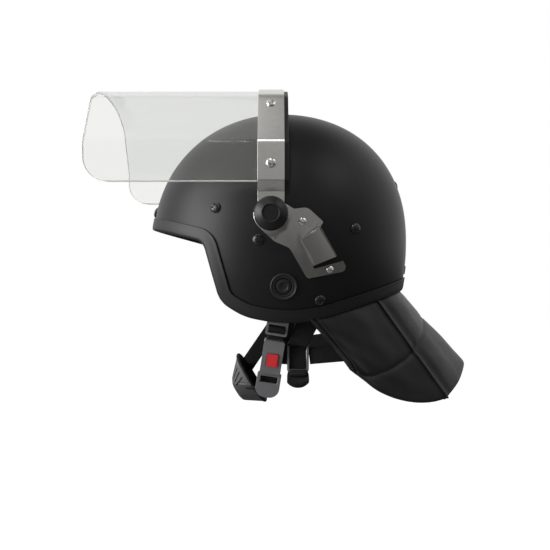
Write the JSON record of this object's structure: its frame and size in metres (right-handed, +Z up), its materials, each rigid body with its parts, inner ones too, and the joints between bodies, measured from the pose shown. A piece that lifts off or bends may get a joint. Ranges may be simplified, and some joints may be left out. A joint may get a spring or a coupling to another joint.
{
  "type": "police riot helmet",
  "caption": "Hard-shell riot helmet with a raised clear face visor on a steel arch, padded neck guard and latched chin strap.",
  "frame": {"origin": "middle of the ear-to-ear axis on which the visor turns, inside the head space", "axes": "+Z up, the face looks along -Y, +X is the wearer's left"},
  "size_m": [0.2824, 0.3905, 0.3401],
  "materials": {
    "shell_black": "matt black moulded shell",
    "rubber_black": "matt black rubber",
    "foam_grey": "dense black impact foam",
    "pad_black": "black brushed cloth over soft foam",
    "polished_steel": "pressed steel, polished",
    "brushed_band": "brushed steel strip",
    "screw_black": "black oxide fasteners",
    "screw_steel": "plain steel fasteners",
    "knob_black": "satin black moulded knob",
    "insert_brass": "brass insert",
    "visor_clear": "clear polycarbonate, 3 mm",
    "leathercloth_black": "padded black leathercloth",
    "webbing_black": "black woven webbing",
    "hardware_grey": "grey moulded buckle parts",
    "button_red": "red push button",
    "cup_grey": "dark grey moulded chin cup"
  },
  "bodies": {
    "helmet": {"bracket_nuts": "screw_steel", "bracket_screws": "screw_steel", "brow_bolt": "screw_black", "brow_pad": "pad_black", "brow_washer": "screw_black", "buckle_body": "hardware_grey", "crown_pad": "pad_black", "ear_grommet_left": "rubber_black", "ear_grommet_right": "rubber_black", "ear_plug_left": "rubber_black", "ear_plug_right": "rubber_black", "edge_trim": "rubber_black", "front_strap_left": "webbing_black", "front_strap_right": "webbing_black", "guard_snaps": "screw_black", "guard_strip": "webbing_black", "impact_liner": "foam_grey", "latch_spring": "screw_steel", "nape_strap": "webbing_black", "neck_guard_left": "leathercloth_black", "neck_guard_rear": "leathercloth_black", "neck_guard_right": "leathercloth_black", "pivot_stud_left": "screw_steel", "pivot_stud_right": "screw_steel", "pivot_washers": "polished_steel", "rear_clip": "screw_black", "rear_pad": "pad_black", "rear_ring_left": "hardware_grey", "rear_ring_right": "hardware_grey", "rear_strap_left": "webbing_black", "rear_strap_right": "webbing_black", "shell": "shell_black", "shell_nuts": "screw_steel", "shell_screws": "screw_black", "side_bracket_left": "polished_steel", "side_bracket_right": "polished_steel", "side_pad_left": "pad_black", "side_pad_right": "pad_black", "spare_loop": "webbing_black", "spring_washers": "screw_steel", "strap_anchors": "screw_steel", "strap_ring_left": "hardware_grey", "strap_ring_right": "hardware_grey"},
    "visor_frame": {"visor_band": "brushed_band", "visor": "visor_clear", "visor_seal": "rubber_black", "visor_screws": "screw_steel", "visor_nuts": "screw_steel"},
    "knob_left_turn": {"knob_left": "knob_black", "knob_insert_left": "insert_brass"},
    "knob_right_turn": {"knob_right": "knob_black", "knob_insert_right": "insert_brass"},
    "button": {"release_button": "button_red"},
    "chin_set": {"tongue": "hardware_grey", "chin_cup": "cup_grey", "cup_lining": "pad_black", "cup_strap_left": "webbing_black", "cup_strap_right": "webbing_black"}
  },
  "joints": [
    {"name": "visor_lift", "type": "hinge", "parent": "helmet", "child": "visor_frame", "pos_m": [0, 0, 0], "axis": [1, 0, 0], "range_deg": [0, 88]},
    {"name": "knob_left_clamp", "type": "hinge", "parent": "helmet", "child": "knob_left_turn", "pos_m": [0.13, 0, 0], "axis": [1, 0, 0], "range_deg": [0, 360]},
    {"name": "knob_right_clamp", "type": "hinge", "parent": "helmet", "child": "knob_right_turn", "pos_m": [-0.13, 0, 0], "axis": [-1, 0, 0], "range_deg": [0, 360]},
    {"name": "button_press", "type": "slide", "parent": "helmet", "child": "button", "axis": [-0.9724, 0.0365, 0.2306], "range_m": [0, 0.0022], "stiffness_N_per_m": 600},
    {"name": "chin_release", "type": "hinge", "parent": "helmet", "child": "chin_set", "pos_m": [-0.08609, 0.00478, -0.11802], "axis": [0, 0.9877, -0.1564], "range_deg": [0, 60]}
  ]
}
